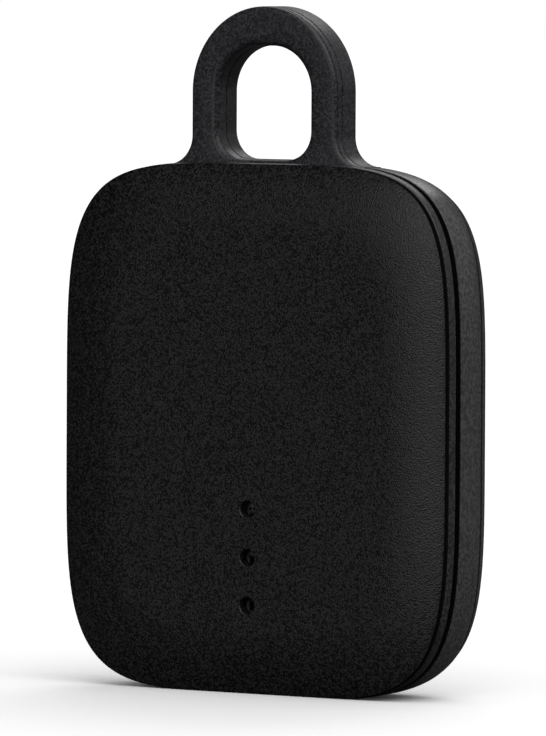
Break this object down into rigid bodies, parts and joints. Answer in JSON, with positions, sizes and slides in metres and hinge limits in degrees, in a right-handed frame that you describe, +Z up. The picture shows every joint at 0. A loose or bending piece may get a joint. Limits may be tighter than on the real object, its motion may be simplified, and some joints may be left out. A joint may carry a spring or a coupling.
{
  "type": "bluetooth tracker",
  "caption": "Rounded flat key finder with a press-in grained front cover, sound holes, a dark frame with a loop for a key ring, and a rear shell that lifts off the coin cell.",
  "frame": {"origin": "under the middle of the body, on the surface that its flat bottom edge stands on", "axes": "+X to the right seen from the front cover, +Y from the front cover to the rear shell, +Z up to the key loop"},
  "size_m": [0.0322, 0.0088, 0.0491],
  "materials": {
    "front_cover": "fine moulded grain",
    "mid_frame": "satin",
    "rear_shell": "satin",
    "gauze": "fine woven gauze",
    "seal": "matte",
    "foam": "matte foam",
    "cell_steel": "bright rolled",
    "black_moulding": "matte",
    "cathode": "pressed powder",
    "anode": "dull metal foil",
    "contact": "plated spring sheet",
    "film": "amber film",
    "board": "solder mask",
    "screw_steel": "zinc plated",
    "chip": "matte epoxy",
    "crystal_can": "bright",
    "ceramic": "fired ceramic",
    "ferrite": "matte",
    "small_parts": "fired ceramic",
    "spring_steel": "bright",
    "plunger": "matte",
    "sounder_brass": "rolled"
  },
  "bodies": {
    "frame": {"mid_frame": "mid_frame", "seal_ring": "seal", "cell_tray": "black_moulding", "positive_contact": "contact", "negative_contact": "contact", "insulating_film": "film", "circuit_board": "board", "board_screws": "screw_steel", "radio_chip": "chip", "main_crystal": "crystal_can", "clock_crystal": "crystal_can", "chip_antenna": "ceramic", "drive_inductor": "ferrite", "drive_transistor": "chip", "small_components": "small_parts", "switch_body": "black_moulding", "switch_plate": "spring_steel", "switch_dome": "spring_steel", "sounder_disc": "sounder_brass", "sounder_ceramic": "ceramic", "sounder_tape": "foam", "sounder_contacts": "contact"},
    "cover": {"front_cover": "front_cover", "sound_mesh": "gauze"},
    "plunger": {"switch_plunger": "plunger"},
    "shell": {"rear_shell": "rear_shell", "cell_pad": "foam"},
    "cell": {"cell_can": "cell_steel", "cell_gasket": "black_moulding", "cell_cap": "cell_steel", "cell_cathode": "cathode", "cell_anode": "anode"}
  },
  "joints": [
    {"name": "cover_press", "type": "slide", "parent": "frame", "child": "cover", "axis": [0, 1, 0], "range_m": [0, 0.00025], "stiffness_N_per_m": 3000},
    {"name": "plunger_press", "type": "slide", "parent": "frame", "child": "plunger", "axis": [0, 1, 0], "range_m": [0, 0.00025]},
    {"name": "shell_lift_off", "type": "slide", "parent": "frame", "child": "shell", "axis": [0, 1, 0], "range_m": [0, 0.02]},
    {"name": "cell_lift_out", "type": "slide", "parent": "frame", "child": "cell", "axis": [0, 1, 0], "range_m": [0, 0.01]}
  ],
  "couplings": [
    {"joint": "plunger_press", "follows": "cover_press", "ratio": 1},
    {"joint": "cell_lift_out", "follows": "shell_lift_off", "ratio": 0.5}
  ]
}
